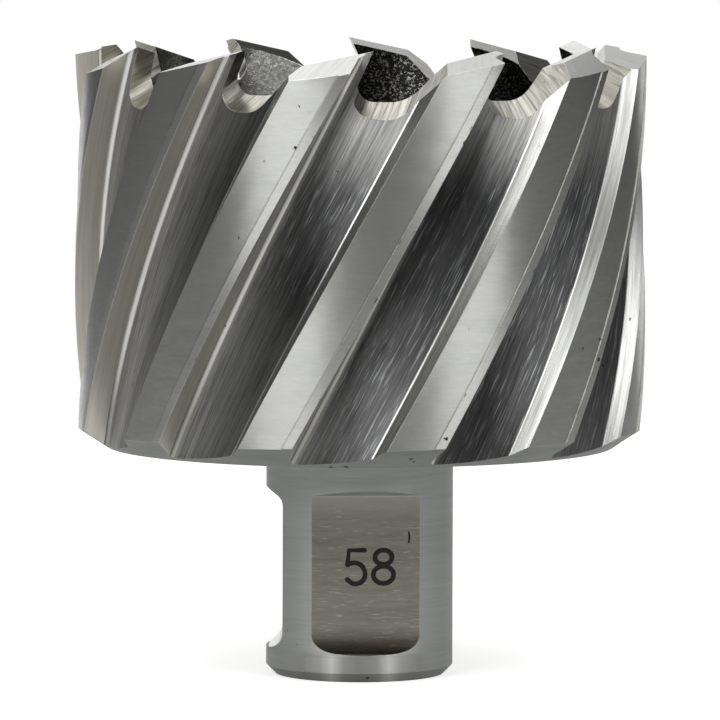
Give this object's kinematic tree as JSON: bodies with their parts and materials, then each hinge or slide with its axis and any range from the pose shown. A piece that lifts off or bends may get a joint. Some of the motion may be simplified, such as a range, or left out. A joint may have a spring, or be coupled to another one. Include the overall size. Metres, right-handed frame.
{
  "type": "annular cutter",
  "caption": "Annular cutter with ground teeth and helical flutes round an open cup, on a plain round shank with clamping flats and a pilot bore.",
  "frame": {"origin": "centre of the shank's end face, on the axis of the cutter", "axes": "+Z along the axis from the shank to the teeth; the side flat looks along -X and the front flat along -Y, turned 4.6 degrees towards +X"},
  "size_m": [0.058, 0.058, 0.0642],
  "materials": {
    "steel": "ground high-speed steel, satin on the shank, brighter on the ground flanks"
  },
  "bodies": {
    "root": {"annular_cutter": "steel"}
  },
  "joints": []
}
